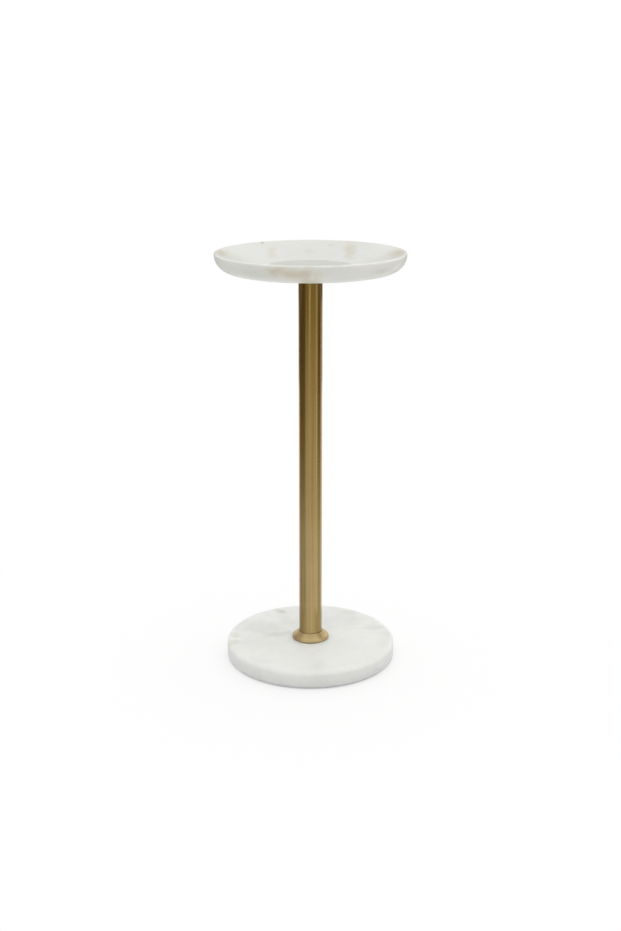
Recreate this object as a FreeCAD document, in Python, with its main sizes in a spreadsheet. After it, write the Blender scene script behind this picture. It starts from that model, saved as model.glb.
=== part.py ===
# Wine table: a turned marble tray on a straight brass post, standing on a round marble base.
# The origin is on the floor under the post and +Z is up. Lengths are in millimetres.

import FreeCAD, Part
import math
import os
import Sketcher

LENGTHS = {
    # Felt pads glued under the base
    "pad_radius": 11.0,
    "pad_thickness": 2.0,
    "pad_circle_radius": 92.0,
    # Marble base, with a counterbore below for the bolt
    "base_radius": 118.5,
    "base_thickness": 23.5,
    "base_top_round": 6.0,
    "base_bottom_round": 2.0,
    "counterbore_radius": 21.0,
    "counterbore_depth": 14.0,
    # Bolt and washers that clamp the base and the collar to the post
    "thread_radius": 5.0,
    "thread_clearance": 0.05,
    "bolt_clearance": 0.5,
    "bolt_head_flats": 16.0,
    "bolt_head_height": 6.4,
    "bolt_length": 35.0,
    "bolt_tip_chamfer": 1.0,
    "spring_washer_radius": 9.0,
    "spring_washer_thickness": 2.2,
    "spring_washer_slit": 1.5,
    "washer_radius": 18.0,
    "washer_thickness": 2.5,
    "gasket_radius": 19.5,
    "gasket_thickness": 1.5,
    # Turned brass collar at the foot of the post
    "collar_radius": 25.8,
    "collar_height": 10.7,
    "collar_band": 3.5,
    "collar_shoulder_round": 3.0,
    "collar_foot_round": 0.5,
    "collar_lip": 0.8,
    "collar_floor": 3.0,
    "collar_clearance": 0.1,
    # Brass post, with a tapped plug brazed into each end
    "post_radius": 16.0,
    "post_wall": 1.5,
    "post_length": 518.0,
    "plug_length": 20.0,
    "plug_chamfer": 1.0,
    "plug_clearance": 0.05,
    "top_plug_gap": 2.0,
    # Steel plate let into the underside of the tray, and the stud that holds it to the post
    "plate_radius": 45.0,
    "plate_thickness": 3.0,
    "plate_clearance": 0.3,
    "boss_length": 6.0,
    "boss_chamfer": 1.0,
    "boss_clearance": 0.2,
    "stud_length": 26.0,
    "stud_chamfer": 1.0,
    "stud_end_gap": 0.5,
    # Marble tray
    "tray_radius": 127.0,
    "tray_height": 28.0,
    "foot_radius": 60.0,
    "underside_rise": 4.9,
    "lip_radius": 2.2,
    "floor_thickness": 9.0,
    "floor_radius": 60.0,
    "crease_radius": 6.0,
    # How far a cut runs past the face that it goes through
    "overrun": 1.0,
}

PAD_COUNT = 4
PAD_START_SHARE = 0.5
FULL_TURN = 360.0
HEX_SIDES = 6
CLOSE = 1e-6

# Levels above the floor, as sums of the pieces that stand on each other.
BASE_BOTTOM = "Sizes.pad_thickness"
BASE_TOP = f"{BASE_BOTTOM} + Sizes.base_thickness"
GASKET_BOTTOM = f"{BASE_BOTTOM} + Sizes.counterbore_depth - Sizes.gasket_thickness"
WASHER_BOTTOM = f"{GASKET_BOTTOM} - Sizes.washer_thickness"
SPRING_WASHER_BOTTOM = f"{WASHER_BOTTOM} - Sizes.spring_washer_thickness"
BOLT_BOTTOM = f"{SPRING_WASHER_BOTTOM} - Sizes.bolt_head_height"
POST_FOOT = f"{BASE_TOP} + Sizes.collar_floor"
POST_TOP = f"{POST_FOOT} + Sizes.post_length"
BOSS_BOTTOM = f"{POST_TOP} - Sizes.boss_length"
TOP_PLUG_BOTTOM = f"{BOSS_BOTTOM} - Sizes.top_plug_gap - Sizes.plug_length"
STUD_BOTTOM = f"{POST_TOP} + Sizes.plate_thickness - Sizes.stud_end_gap - Sizes.stud_length"

# Radii that more than one piece is made to.
POST_BORE = "Sizes.post_radius - Sizes.post_wall"
COLLAR_BORE = "Sizes.post_radius + Sizes.collar_clearance"
TAPPED_HOLE = "Sizes.thread_radius + Sizes.thread_clearance"
BOLT_HOLE = "Sizes.thread_radius + Sizes.bolt_clearance"

doc = FreeCAD.newDocument("WineTable")
sheet = doc.addObject("Spreadsheet::Sheet", "Sizes")
for row, (alias, number) in enumerate(LENGTHS.items(), start=1):
    sheet.set(f"A{row}", alias)
    sheet.set(f"B{row}", str(number))
    sheet.setAlias(f"B{row}", alias)
doc.recompute()

pieces = []


def value(expression):
    """What an expression on the sheet comes to, as a plain number."""
    return float(sheet.evalExpression(expression))


def new_body(name, level):
    """Start a piece whose own zero height stands at a level above the floor."""
    body = doc.addObject("PartDesign::Body", name)
    body.Label = name
    body.setExpression("Placement.Base.z", level)
    pieces.append(body)
    return body


def new_sketch(body, role, height="0"):
    """Put a sketch on one of the body's own origin planes, or at a height above it."""
    sketch = body.newObject("Sketcher::SketchObject", f"{body.Name}_sketch")
    plane = next(feature for feature in body.Origin.OriginFeatures if feature.Role == role)
    sketch.AttachmentSupport = (plane, [""])
    sketch.MapMode = "FlatFace"
    sketch.setExpression("AttachmentOffset.Base.z", height)
    return sketch


def hold(sketch, expression, kind, *places):
    """Add a dimension to a sketch and bind it to the sheet."""
    number = value(expression)
    if kind == "Angle":
        number = math.radians(number)
    index = sketch.addConstraint(Sketcher.Constraint(kind, *places, number))
    sketch.setExpression(f"Constraints[{index}]", expression)


def tie(sketch, kind, *places):
    """Add a constraint without a size to a sketch."""
    sketch.addConstraint(Sketcher.Constraint(kind, *places))


def draw_circles(sketch, *radii):
    """Draw circles about the sketch's origin."""
    for radius in radii:
        upright = FreeCAD.Vector(0, 0, 1)
        circle = sketch.addGeometry(Part.Circle(FreeCAD.Vector(), upright, value(radius)))
        tie(sketch, "Coincident", circle, 3, -1, 1)
        hold(sketch, radius, "Radius", circle)


def draw_outline(sketch, corners):
    """Draw a closed outline of straight lines through corners, each a pair of expressions."""
    points = [FreeCAD.Vector(value(across), value(up)) for across, up in corners]
    ends = zip(points, points[1:] + points[:1])
    lines = [sketch.addGeometry(Part.LineSegment(start, end)) for start, end in ends]
    for line, next_line in zip(lines, lines[1:] + lines[:1]):
        tie(sketch, "Coincident", line, 2, next_line, 1)
    for line, (across, up) in zip(lines, corners):
        hold(sketch, across, "DistanceX", -1, 1, line, 1)
        hold(sketch, up, "DistanceY", -1, 1, line, 1)


def add_pad(body, length, *radii, height="0"):
    """Raise a disc, or a ring between two radii, from a height on the body's axis."""
    sketch = new_sketch(body, "XY_Plane", height)
    draw_circles(sketch, *radii)
    pad = body.newObject("PartDesign::Pad", f"{body.Name}_pad")
    pad.Profile = sketch
    pad.setExpression("Length", length)
    doc.recompute()
    return pad


def add_pocket(body, sketch, depth):
    """Cut a sketch upwards into the body, and make sure that it cuts something."""
    before = body.Shape.Volume
    pocket = body.newObject("PartDesign::Pocket", f"{body.Name}_pocket")
    pocket.Profile = sketch
    pocket.Reversed = True
    pocket.setExpression("Length", depth)
    doc.recompute()
    if pocket.Shape.Volume >= before:
        raise RuntimeError(f"{pocket.Name} cuts nothing")
    return pocket


def add_round_pocket(body, radius, depth):
    """Cut a round hole upwards from the bottom of the body."""
    sketch = new_sketch(body, "XY_Plane")
    draw_circles(sketch, radius)
    return add_pocket(body, sketch, depth)


def add_turning(body, sketch):
    """Turn a half section about the upright axis."""
    turning = body.newObject("PartDesign::Revolution", f"{body.Name}_turning")
    turning.Profile = sketch
    turning.ReferenceAxis = (sketch, ["V_Axis"])
    turning.Angle = FULL_TURN
    doc.recompute()
    return turning


def dress_rings(body, feature, kind, size_name, size, *rings):
    """Fillet or chamfer the round edges that have the given radii and heights."""
    wanted = [(value(radius), value(height)) for radius, height in rings]
    names = []
    for number, edge in enumerate(feature.Shape.Edges, start=1):
        if not isinstance(edge.Curve, Part.Circle):
            continue
        found = (edge.Curve.Radius, edge.Curve.Center.z)
        if any(math.dist(found, ring) < CLOSE for ring in wanted):
            names.append(f"Edge{number}")
    if len(names) != len(rings):
        raise RuntimeError(f"{body.Name} has {len(names)} of the edges to dress")
    dressing = body.newObject(f"PartDesign::{kind}", f"{body.Name}_{kind.lower()}")
    dressing.Base = (feature, names)
    dressing.setExpression(size_name, size)
    doc.recompute()
    return dressing


def make_felt_pads():
    """Round felt pads, evenly spaced near the edge of the base."""
    for number in range(PAD_COUNT):
        body = new_body(f"felt_pad_{number + 1}", "0")
        turn = FULL_TURN * (number + PAD_START_SHARE) / PAD_COUNT
        body.setExpression("Placement.Base.x", f"Sizes.pad_circle_radius * cos({turn} deg)")
        body.setExpression("Placement.Base.y", f"Sizes.pad_circle_radius * sin({turn} deg)")
        add_pad(body, "Sizes.pad_thickness", "Sizes.pad_radius")


def make_base_disc():
    """Marble disc with its edges rounded, more above than below, and a counterbored hole for the bolt."""
    body = new_body("base_disc", BASE_BOTTOM)
    add_pad(body, "Sizes.base_thickness", "Sizes.base_radius")
    add_round_pocket(body, "Sizes.counterbore_radius", "Sizes.counterbore_depth")
    hole = add_round_pocket(body, BOLT_HOLE, "Sizes.base_thickness + Sizes.overrun")
    top_edge = ("Sizes.base_radius", "Sizes.base_thickness")
    rounded = dress_rings(body, hole, "Fillet", "Radius", "Sizes.base_top_round", top_edge)
    bottom_edge = ("Sizes.base_radius", "0")
    dress_rings(body, rounded, "Fillet", "Radius", "Sizes.base_bottom_round", bottom_edge)


def make_washer(name, level, thickness, radius):
    """Flat ring that the bolt passes through."""
    body = new_body(name, level)
    add_pad(body, thickness, radius, BOLT_HOLE)
    return body


def make_spring_washer():
    """Spring ring, cut through at one side."""
    thickness = "Sizes.spring_washer_thickness"
    body = make_washer("spring_washer", SPRING_WASHER_BOTTOM, thickness, "Sizes.spring_washer_radius")
    sketch = new_sketch(body, "XY_Plane")
    outside = "Sizes.spring_washer_radius + Sizes.overrun"
    half_slit = "Sizes.spring_washer_slit / 2"
    corners = [("0", f"-{half_slit}"), (outside, f"-{half_slit}"), (outside, half_slit), ("0", half_slit)]
    draw_outline(sketch, corners)
    add_pocket(body, sketch, f"{thickness} + Sizes.overrun")


def make_base_bolt():
    """Hexagon bolt, head down in the counterbore, that screws into the plug in the post's foot."""
    body = new_body("base_bolt", BOLT_BOTTOM)
    head = body.newObject("PartDesign::AdditivePrism", "base_bolt_head")
    head.Polygon = HEX_SIDES
    head.setExpression("Circumradius", f"Sizes.bolt_head_flats / 2 / cos({FULL_TURN / HEX_SIDES / 2} deg)")
    head.setExpression("Height", "Sizes.bolt_head_height")
    shank = add_pad(body, "Sizes.bolt_length", "Sizes.thread_radius", height="Sizes.bolt_head_height")
    tip = ("Sizes.thread_radius", "Sizes.bolt_head_height + Sizes.bolt_length")
    dress_rings(body, shank, "Chamfer", "Size", "Sizes.bolt_tip_chamfer", tip)


def make_base_collar():
    """Brass collar: an upright band, rounded over into a cone up to the post, and a socket that the
    post stands in."""
    body = new_body("base_collar", BASE_TOP)
    sketch = new_sketch(body, "XZ_Plane")
    corners = [
        (BOLT_HOLE, "0"),
        ("Sizes.collar_radius", "0"),
        ("Sizes.collar_radius", "Sizes.collar_band"),
        (f"{COLLAR_BORE} + Sizes.collar_lip", "Sizes.collar_height"),
        (COLLAR_BORE, "Sizes.collar_height"),
        (COLLAR_BORE, "Sizes.collar_floor"),
        (BOLT_HOLE, "Sizes.collar_floor"),
    ]
    draw_outline(sketch, corners)
    turning = add_turning(body, sketch)
    shoulder = ("Sizes.collar_radius", "Sizes.collar_band")
    rounded = dress_rings(body, turning, "Fillet", "Radius", "Sizes.collar_shoulder_round", shoulder)
    foot = ("Sizes.collar_radius", "0")
    dress_rings(body, rounded, "Fillet", "Radius", "Sizes.collar_foot_round", foot)


def make_post_tube():
    """Straight brass tube that stands in the collar and carries the tray's plate."""
    body = new_body("post_tube", POST_FOOT)
    add_pad(body, "Sizes.post_length", "Sizes.post_radius", POST_BORE)


def make_plug(name, level):
    """Steel plug with a tapped hole, brazed inside the post."""
    body = new_body(name, level)
    radius = f"{POST_BORE} - Sizes.plug_clearance"
    add_pad(body, "Sizes.plug_length", radius)
    hole = add_round_pocket(body, TAPPED_HOLE, "Sizes.plug_length + Sizes.overrun")
    ends = [(radius, "0"), (radius, "Sizes.plug_length")]
    dress_rings(body, hole, "Chamfer", "Size", "Sizes.plug_chamfer", *ends)


def make_tray_stud():
    """Threaded stud that screws into the top plug and into the tray's plate."""
    body = new_body("tray_stud", STUD_BOTTOM)
    stud = add_pad(body, "Sizes.stud_length", "Sizes.thread_radius")
    ends = [("Sizes.thread_radius", "0"), ("Sizes.thread_radius", "Sizes.stud_length")]
    dress_rings(body, stud, "Chamfer", "Size", "Sizes.stud_chamfer", *ends)


def make_tray_plate():
    """Steel disc bedded in the tray's underside, with a boss that centres it in the post."""
    body = new_body("tray_plate", BOSS_BOTTOM)
    boss_radius = f"{POST_BORE} - Sizes.boss_clearance"
    add_pad(body, "Sizes.boss_length", boss_radius)
    add_pad(body, "Sizes.plate_thickness", "Sizes.plate_radius", height="Sizes.boss_length")
    depth = "Sizes.boss_length + Sizes.plate_thickness + Sizes.overrun"
    hole = add_round_pocket(body, TAPPED_HOLE, depth)
    dress_rings(body, hole, "Chamfer", "Size", "Sizes.boss_chamfer", (boss_radius, "0"))


def direction(angle):
    """Unit vector at an angle from the sketch's first axis."""
    return FreeCAD.Vector(math.cos(angle), math.sin(angle))


def arc(centre, radius, start, end):
    """Arc that runs anticlockwise from one angle to another."""
    circle = Part.Circle(centre, FreeCAD.Vector(0, 0, 1), radius)
    return Part.ArcOfCircle(circle, start, end)


def draw_tray_section(sketch):
    """Half section of the tray: flat foot, rising underside, round corner up to an upright tangent,
    rounded lip, straight slope down to the crease, and level floor. Every arc meets its neighbours
    in a tangent."""
    lip_across = "Sizes.tray_radius - Sizes.lip_radius"
    lip_up = "Sizes.tray_height - Sizes.lip_radius"
    rise_angle = "atan(Sizes.underside_rise / (Sizes.tray_radius - Sizes.foot_radius))"
    foot = FreeCAD.Vector(value("Sizes.foot_radius"), 0)
    lip_radius = value("Sizes.lip_radius")
    lip_centre = FreeCAD.Vector(value(lip_across), value(lip_up))
    lip_start = lip_centre + FreeCAD.Vector(lip_radius, 0)

    # The corner ends upright at the lip, level with its own centre, and touches the underside, whose
    # line through the foot then sets the corner's radius.
    rise = math.radians(value(rise_angle))
    under_out = direction(rise - math.pi / 2)
    corner_radius = under_out.dot(foot - lip_start) / (1 - under_out.x)
    corner_centre = lip_start - FreeCAD.Vector(corner_radius, 0)
    corner_start = corner_centre + under_out * corner_radius

    # The inside slope is the line that touches the lip from above and the crease from below.
    crease_radius = value("Sizes.crease_radius")
    floor_edge = FreeCAD.Vector(value("Sizes.floor_radius"), value("Sizes.floor_thickness"))
    crease_centre = floor_edge + FreeCAD.Vector(0, crease_radius)
    apart = crease_centre - lip_centre
    slope_angle = math.atan2(apart.y, apart.x) - math.acos((lip_radius + crease_radius) / apart.Length)
    slope_angle = slope_angle % math.radians(FULL_TURN)
    lip_end = lip_centre + direction(slope_angle) * lip_radius
    crease_end = crease_centre - direction(slope_angle) * crease_radius

    origin = FreeCAD.Vector()
    floor_centre = FreeCAD.Vector(0, floor_edge.y)
    bottom = sketch.addGeometry(Part.LineSegment(origin, foot))
    underside = sketch.addGeometry(Part.LineSegment(foot, corner_start))
    corner = sketch.addGeometry(arc(corner_centre, corner_radius, rise - math.pi / 2, 0))
    lip = sketch.addGeometry(arc(lip_centre, lip_radius, 0, slope_angle))
    slope = sketch.addGeometry(Part.LineSegment(lip_end, crease_end))
    crease = sketch.addGeometry(arc(crease_centre, crease_radius, -math.pi / 2, slope_angle - math.pi))
    floor = sketch.addGeometry(Part.LineSegment(floor_edge, floor_centre))
    axis = sketch.addGeometry(Part.LineSegment(floor_centre, origin))

    tie(sketch, "Coincident", bottom, 1, -1, 1)
    tie(sketch, "Coincident", bottom, 2, underside, 1)
    tie(sketch, "Tangent", underside, 2, corner, 1)
    tie(sketch, "Tangent", corner, 2, lip, 1)
    tie(sketch, "Tangent", lip, 2, slope, 1)
    tie(sketch, "Tangent", slope, 2, crease, 2)
    tie(sketch, "Tangent", crease, 1, floor, 1)
    tie(sketch, "Coincident", floor, 2, axis, 1)
    tie(sketch, "Coincident", axis, 2, -1, 1)
    tie(sketch, "PointOnObject", floor, 2, -2)
    tie(sketch, "Horizontal", bottom)
    tie(sketch, "Horizontal", floor)
    tie(sketch, "Horizontal", corner, 3, lip, 3)

    hold(sketch, "Sizes.foot_radius", "DistanceX", -1, 1, bottom, 2)
    hold(sketch, rise_angle, "Angle", underside)
    hold(sketch, "Sizes.lip_radius", "Radius", lip)
    hold(sketch, lip_across, "DistanceX", -1, 1, lip, 3)
    hold(sketch, lip_up, "DistanceY", -1, 1, lip, 3)
    hold(sketch, "Sizes.crease_radius", "Radius", crease)
    hold(sketch, "Sizes.floor_radius", "DistanceX", -1, 1, floor, 1)
    hold(sketch, "Sizes.floor_thickness", "DistanceY", -1, 1, floor, 1)


def make_tray_top():
    """Turned marble tray, with a shallow round recess below for its plate."""
    body = new_body("tray_top", POST_TOP)
    sketch = new_sketch(body, "XZ_Plane")
    draw_tray_section(sketch)
    add_turning(body, sketch)
    add_round_pocket(body, "Sizes.plate_radius + Sizes.plate_clearance", "Sizes.plate_thickness")


# The table from the floor up, in the order in which it is put together.
make_felt_pads()
make_base_disc()
make_washer("base_gasket", GASKET_BOTTOM, "Sizes.gasket_thickness", "Sizes.gasket_radius")
make_washer("base_washer", WASHER_BOTTOM, "Sizes.washer_thickness", "Sizes.washer_radius")
make_spring_washer()
make_base_bolt()
make_base_collar()
make_post_tube()
make_plug("bottom_plug", POST_FOOT)
make_plug("top_plug", TOP_PLUG_BOTTOM)
make_tray_stud()
make_tray_plate()
make_tray_top()
doc.recompute()

for item in doc.Objects:
    if "Invalid" in item.State or "Error" in item.State:
        raise RuntimeError(f"{item.Name} did not build")
for piece in pieces:
    if piece.Shape.isNull() or not piece.Shape.isValid() or len(piece.Shape.Solids) != 1:
        raise RuntimeError(f"{piece.Label} is not one sound solid")

os.makedirs("parts", exist_ok=True)
for piece in pieces:
    piece.Shape.exportStep(f"parts/{piece.Label}.step")
    box = piece.Shape.optimalBoundingBox()
    print(f"{piece.Label}: z {box.ZMin:.2f} to {box.ZMax:.2f}, across {box.XLength:.2f}, "
          f"volume {piece.Shape.Volume:.1f}")
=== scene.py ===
# Wine table: a turned marble tray on a straight brass post, standing on a round marble base.
# Metres, +Z up, with the origin on the floor under the post.
import bmesh
import bpy
import math
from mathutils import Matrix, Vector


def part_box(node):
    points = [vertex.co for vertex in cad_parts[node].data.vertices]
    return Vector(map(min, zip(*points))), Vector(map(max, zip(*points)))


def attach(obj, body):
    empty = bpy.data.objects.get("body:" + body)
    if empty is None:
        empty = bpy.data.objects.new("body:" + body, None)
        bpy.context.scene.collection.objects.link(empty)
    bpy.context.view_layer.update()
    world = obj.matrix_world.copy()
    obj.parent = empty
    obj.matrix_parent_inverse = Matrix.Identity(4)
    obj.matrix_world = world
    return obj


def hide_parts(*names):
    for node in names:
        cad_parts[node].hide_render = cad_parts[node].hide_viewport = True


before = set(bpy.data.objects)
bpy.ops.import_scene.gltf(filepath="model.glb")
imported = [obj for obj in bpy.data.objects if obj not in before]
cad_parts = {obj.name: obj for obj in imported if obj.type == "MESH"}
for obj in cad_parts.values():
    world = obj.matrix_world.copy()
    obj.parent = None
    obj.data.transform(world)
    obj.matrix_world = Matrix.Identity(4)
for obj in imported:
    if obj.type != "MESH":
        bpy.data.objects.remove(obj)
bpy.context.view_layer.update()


# Foot pads
# Four round pads punched from thick pressed wool felt and glued under the stone near its edge. They
# keep it clear of the floor, and the punch leaves their cut edge a little furry.
PAD_COUNT = 4
PAD_SIDES = 64
PAD_EDGE = 0.0004
PAD_EDGE_STEPS = 3
PAD_WAIST_SHARE = 0.5
PAD_FUR = 0.00012
PAD_FUR_SEED = 3
FELT_DARK = (0.050, 0.045, 0.041, 1.0)
FELT_LIGHT = (0.115, 0.105, 0.096, 1.0)
FELT_FIBRES = 2600.0
FELT_FIBRE_TWIST = 2.0
FELT_MOTTLE = 240.0
FELT_RELIEF = 0.0002
FELT_SHEEN = 0.4
CLOSE = 1e-6
SHARP_ANGLE = math.radians(30)

# How a pattern shades a finish, here and further on: the figures at which it starts and is full, and then
# its strength. A roughness has its highest and its lowest value in place of the strength.
FELT_FUZZ = (0.5, 0.8, 0.5)
FELT_ROUGHNESS = (0.0, 1.0, 1.0, 0.85)


def turn(name, section, sides, middle=(0.0, 0.0)):
    """Turn a piece from its half section, a list of (radius, level): a ring of edges starts at the
    first point and is extruded, lifted and scaled to each of the others. A section that ends where
    it starts closes by itself, and any other is capped. The mesh is left open for editing."""
    (radius, level), *others = section
    across, along = middle
    bpy.ops.object.select_all(action="DESELECT")
    bpy.ops.mesh.primitive_circle_add(vertices=sides, radius=radius, location=(across, along, level))
    piece = bpy.context.object
    piece.name = name
    bpy.ops.object.transform_apply()
    bpy.ops.object.mode_set(mode="EDIT")
    bpy.ops.mesh.select_all(action="SELECT")
    for next_radius, next_level in others:
        lift = {"value": (0.0, 0.0, next_level - level)}
        bpy.ops.mesh.extrude_region_move(TRANSFORM_OT_translate=lift)
        widening = next_radius / radius
        pivot = (across, along, next_level)
        bpy.ops.transform.resize(value=(widening, widening, 1.0), center_override=pivot)
        radius, level = next_radius, next_level
    bpy.ops.mesh.select_all(action="SELECT")
    bpy.ops.mesh.remove_doubles(threshold=CLOSE)
    bpy.ops.mesh.fill_holes(sides=0)
    bpy.ops.mesh.normals_make_consistent(inside=False)
    return piece


def pick_ring(corner, middle=(0.0, 0.0)):
    """Select the ring of edges at one (radius, level) of the section."""
    bpy.ops.mesh.select_mode(type="EDGE")
    bpy.ops.mesh.select_all(action="DESELECT")
    mesh = bmesh.from_edit_mesh(bpy.context.object.data)
    across, along = middle
    for edge in mesh.edges:
        ends = [(math.hypot(v.co.x - across, v.co.y - along), v.co.z) for v in edge.verts]
        if all(math.dist(end, corner) < CLOSE for end in ends):
            edge.select_set(True)
    bmesh.update_edit_mesh(bpy.context.object.data)


def round_off(corner, reach, steps=1, middle=(0.0, 0.0)):
    """Round a corner of the section with an arc that starts and ends so far from it. One step makes it
    a plain chamfer."""
    pick_ring(corner, middle)
    bpy.ops.mesh.bevel(offset_type="ABSOLUTE", offset=reach, segments=steps)


def shade(piece):
    """End the mesh's editing and shade it smooth, with true flats and with its sharp edges kept."""
    bpy.ops.object.mode_set(mode="OBJECT")
    bpy.ops.object.shade_smooth_by_angle(angle=SHARP_ANGLE)
    flats = piece.modifiers.new("true_flats", "WEIGHTED_NORMAL")
    flats.keep_sharp = True
    bpy.ops.object.modifier_apply(modifier=flats.name)


def add_node(material, kind, inputs, **settings):
    """Add a shader node, with a value or another node's output for each of the named inputs."""
    node = material.node_tree.nodes.new(f"ShaderNode{kind}")
    for setting, value in settings.items():
        setattr(node, setting, value)
    for name, value in inputs.items():
        if isinstance(value, bpy.types.NodeSocket):
            material.node_tree.links.new(value, node.inputs[name])
        else:
            node.inputs[name].default_value = value
    return node


def new_finish(name):
    """Start a material, and give the place on the piece that its patterns are laid out by."""
    material = bpy.data.materials.new(name)
    material.use_nodes = True
    return material, add_node(material, "TexCoord", {}).outputs["Object"]


def speckle(material, place, scale=1.0, detail=4.0, twist=0.0):
    """Noise from 0 to 1, at so many lumps to the metre."""
    inputs = {"Vector": place, "Scale": scale, "Detail": detail, "Distortion": twist}
    return add_node(material, "TexNoise", inputs).outputs["Fac"]


def ease(material, value, start, end, high=1.0, low=0.0):
    """Pass smoothly from low to high as a value goes from start to end."""
    inputs = {"Value": value, "From Min": start, "From Max": end, "To Min": low, "To Max": high}
    return add_node(material, "MapRange", inputs, interpolation_type="SMOOTHSTEP").outputs["Result"]


def lay_over(material, amount, ground, colour, blend="MIX"):
    """Lay a colour over the ground by an amount from 0 to 1. The Mix node's colours are its inputs 6
    and 7, and the mixed one is its output 2."""
    inputs = {0: amount, 6: ground, 7: colour}
    return add_node(material, "Mix", inputs, data_type="RGBA", blend_type=blend).outputs[2]


def tint(material, ground, colour, pattern, shading):
    """Lay a colour over the ground where a pattern calls for it, as its shading says."""
    return lay_over(material, ease(material, pattern, *shading), ground, colour)


def set_finish(material, colour, roughness, relief, depth, **constants):
    """Give the shader its colour, roughness and relief from nodes, and its other values directly."""
    shader = material.node_tree.nodes["Principled BSDF"]
    bump = add_node(material, "Bump", {"Height": relief, "Distance": depth})
    material.node_tree.links.new(colour, shader.inputs["Base Color"])
    material.node_tree.links.new(roughness, shader.inputs["Roughness"])
    material.node_tree.links.new(bump.outputs["Normal"], shader.inputs["Normal"])
    for name, value in constants.items():
        shader.inputs[name.replace("_", " ")].default_value = value


felt, felt_place = new_finish("pressed_felt")
felt_fibres = speckle(felt, felt_place, FELT_FIBRES, twist=FELT_FIBRE_TWIST)
felt_mottle = speckle(felt, felt_place, FELT_MOTTLE)
felt_colour = lay_over(felt, felt_mottle, FELT_DARK, FELT_LIGHT)
felt_colour = tint(felt, felt_colour, FELT_LIGHT, felt_fibres, FELT_FUZZ)
felt_roughness = ease(felt, felt_fibres, *FELT_ROUGHNESS)
set_finish(felt, felt_colour, felt_roughness, felt_fibres, FELT_RELIEF, Sheen_Weight=FELT_SHEEN)

pad_boxes = [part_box(f"felt_pad_{number + 1}") for number in range(PAD_COUNT)]
pad_low, pad_high = pad_boxes[0]
pad_middle = ((pad_low.x + pad_high.x) / 2, (pad_low.y + pad_high.y) / 2)
pad_radius = (pad_high.x - pad_low.x) / 2 - PAD_FUR
pad_waist = pad_low.z + (pad_high.z - pad_low.z) * PAD_WAIST_SHARE
pad_section = [(pad_radius, pad_low.z), (pad_radius, pad_waist), (pad_radius, pad_high.z)]
pad = turn("foot_pad_1", pad_section, PAD_SIDES, pad_middle)
round_off((pad_radius, pad_low.z), PAD_EDGE, PAD_EDGE_STEPS, pad_middle)
pick_ring((pad_radius, pad_waist), pad_middle)
bpy.ops.transform.vertex_random(offset=PAD_FUR, seed=PAD_FUR_SEED)
shade(pad)
pad.data.materials.append(felt)
pads = [pad]
for number in range(1, PAD_COUNT):
    bpy.ops.object.select_all(action="DESELECT")
    pad.select_set(True)
    bpy.ops.object.duplicate()
    copy = bpy.context.selected_objects[0]
    copy.name = f"foot_pad_{number + 1}"
    copy.location = pad_boxes[number][0] - pad_low
    bpy.context.view_layer.objects.active = copy
    bpy.ops.object.transform_apply()
    pads.append(copy)
for number, piece in enumerate(pads):
    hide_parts(f"felt_pad_{number + 1}")
    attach(piece, "root")


# Base
# A thick disc of white marble, turned and honed, with its top edge rounded over and its foot eased.
# Below it has a counterbore for the bolt's head and washers, and a plain hole for the bolt.
BASE_SIDES = 256
BASE_ARRIS = 0.006
BASE_ARRIS_STEPS = 10
BASE_FOOT_ROUND = 0.002
BASE_FOOT_STEPS = 4
COUNTERBORE_RADIUS = 0.021
COUNTERBORE_CHAMFER = 0.0006
BOLT_HOLE_RADIUS = 0.0055
BASE_WHITE = (0.913, 0.923, 0.885, 1.0)
STONE_CLOUD = (0.745, 0.755, 0.725, 1.0)
STONE_VEIN = (0.560, 0.575, 0.555, 1.0)
STONE_TAN = (0.630, 0.630, 0.430, 1.0)
STONE_BEDDING = (16.0, 60.0, 150.0)
STONE_WARP = 0.030
STONE_RELIEF = 0.000008
STONE_IOR = 1.5
STONE_GLOW = 1.0
STONE_GLOW_REACH = 0.004
STONE_GLOW_SHARES = (1.0, 0.95, 0.85)
HONED_ROUGHNESS = 0.46
DULL_START = 0.3
DULL_FULL = 0.8
DULLING = 0.06
# The tone of the painted shade on the tray's level floor, and how soft its edge is.
PAINTED_SHADE_EDGE = 0.0006
PAINTED_SHADE_TONE = (0.79, 0.79, 0.765, 1.0)

# Each noise in the stone: its lumps to the metre, its detail, and its twist if it has one.
STONE_EDDIES = (11.0, 3.0)
STONE_CLOUDS = (13.0, 3.0)
STONE_MOTTLE = (95.0, 2.0)
STONE_WISPS = (48.0, 3.0, 0.6)
STONE_GRAIN = (900.0, 2.0)
STONE_WAVES = (55.0, 1.0)
NOISE_MIDDLE = 0.5

# How its clouds, beds, mottle and grain shade it, and how a stain or a painted highlight fades outwards
# and how ragged it is.
CLOUD_SHADE = (0.45, 0.80, 0.60)
BED_SHADE = (0.50, 0.80, 0.25)
MOTTLE_SHADE = (0.45, 0.80, 0.25)
GRAIN_SHADE = (0.50, 0.80, 0.05)
PATCH_EDGE = 1.15
PATCH_HEART = -0.05
PATCH_RAGGED = 1.7
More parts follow.
